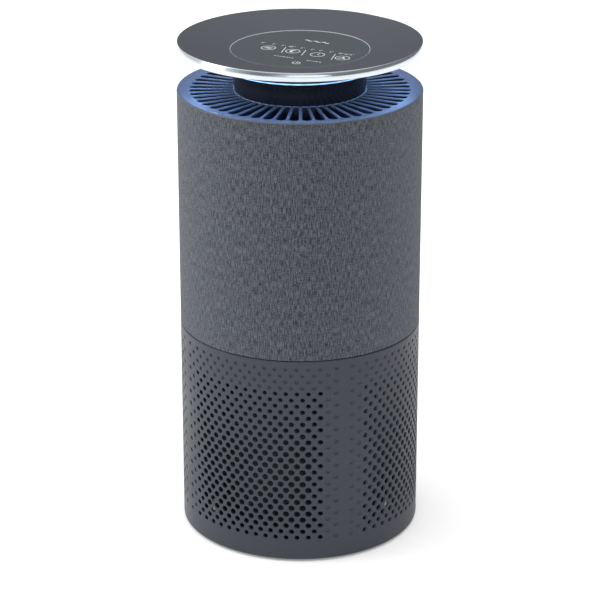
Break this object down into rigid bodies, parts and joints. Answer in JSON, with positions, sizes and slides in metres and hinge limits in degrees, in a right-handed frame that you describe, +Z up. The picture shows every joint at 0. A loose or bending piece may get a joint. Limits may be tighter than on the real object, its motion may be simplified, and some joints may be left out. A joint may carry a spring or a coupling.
{
  "type": "air purifier",
  "caption": "Cylindrical room air purifier with a perforated inlet base, a fabric band, a lit ring outlet and a raised touch disc on top.",
  "frame": {"origin": "centre of the round footprint, on the surface that the feet stand on", "axes": "+Z up along the body's axis, the front of the touch panel faces -Y, the power inlet faces +Y"},
  "size_m": [0.252, 0.252, 0.528],
  "materials": {
    "shell_plastic": "fine satin texture, slate grey",
    "fabric_melange": "melange woven acoustic-style fabric, slate and light grey threads",
    "grille_plastic": "satin dark blue-black, lit blue from above",
    "gloss_black": "high gloss black",
    "inner_black": "satin black",
    "rim_metal": "polished and brushed round the rim",
    "dish_paint": "satin graphite lacquer",
    "touch_glass": "printed touch panel, gloss",
    "light_diffuser": "milky light guide, lit blue",
    "base_plastic": "textured black",
    "inner_plastic": "plain moulded grey",
    "fan_plastic": "glass-filled moulded grey",
    "rubber": "matte black",
    "foam": "closed-cell foam",
    "filter_paper": "pleated glass-fibre paper",
    "carbon_bed": "granular activated carbon",
    "prefilter_mesh": "fine nylon mesh",
    "tab_ribbon": "woven ribbon",
    "steel": "zinc-plated and ground steel",
    "cast_metal": "die-cast",
    "lamination": "stacked laminations",
    "magnet": "bonded ferrite",
    "copper_wire": "enamelled copper",
    "circuit_board": "solder mask green",
    "components": "moulded electronic parts",
    "wire_black": "PVC insulation",
    "ribbon_cable": "flat grey ribbon cable"
  },
  "bodies": {
    "housing": {"rubber_feet": "rubber", "base_ring": "base_plastic", "base_screws": "steel", "inlet_shell": "shell_plastic", "power_inlet": "inner_black", "inlet_pins": "steel", "mains_lead": "wire_black", "lead_cover": "inner_plastic", "fan_deck": "inner_plastic", "deck_screws": "steel", "inlet_guard": "inner_black", "motor_bearings": "steel", "stator_core": "lamination", "stator_windings": "copper_wire", "motor_mount": "cast_metal", "motor_bushes": "rubber", "motor_screws": "steel", "fan_housing": "inner_plastic", "housing_screws": "steel", "diffuser": "fan_plastic", "flow_cone": "inner_black", "power_board": "circuit_board", "power_board_parts": "components", "main_board": "circuit_board", "main_board_parts": "components", "upper_shell": "inner_plastic", "fabric_sleeve": "fabric_melange", "outlet_grille": "grille_plastic", "pedestal": "gloss_black", "pedestal_screws": "steel", "disc_tray": "inner_black", "light_ring": "light_diffuser", "light_board": "circuit_board", "rim_band": "rim_metal", "top_dish": "dish_paint", "touch_board": "circuit_board", "touch_board_parts": "components", "touch_panel": "touch_glass", "panel_cable": "ribbon_cable"},
    "rotor": {"impeller": "fan_plastic", "motor_shaft": "steel", "rotor_can": "cast_metal", "rotor_magnets": "magnet"},
    "filter": {"filter_lower_cap": "inner_black", "filter_upper_cap": "inner_black", "filter_pleats": "filter_paper", "filter_carbon": "carbon_bed", "filter_prefilter": "prefilter_mesh", "filter_seal": "foam", "filter_pull_tab": "tab_ribbon"},
    "filter_door": {"filter_door": "base_plastic", "door_gasket": "foam"}
  },
  "joints": [
    {"name": "fan_spin", "type": "hinge", "parent": "housing", "child": "rotor", "pos_m": [0, 0, 0.27], "axis": [0, 0, 1], "continuous": true},
    {"name": "filter_drop", "type": "slide", "parent": "housing", "child": "filter", "axis": [0, 0, -1], "range_m": [0, 0.23]},
    {"name": "door_turn", "type": "hinge", "parent": "filter", "child": "filter_door", "pos_m": [0, 0, 0.004], "axis": [0, 0, 1], "range_deg": [0, 22.5]}
  ]
}
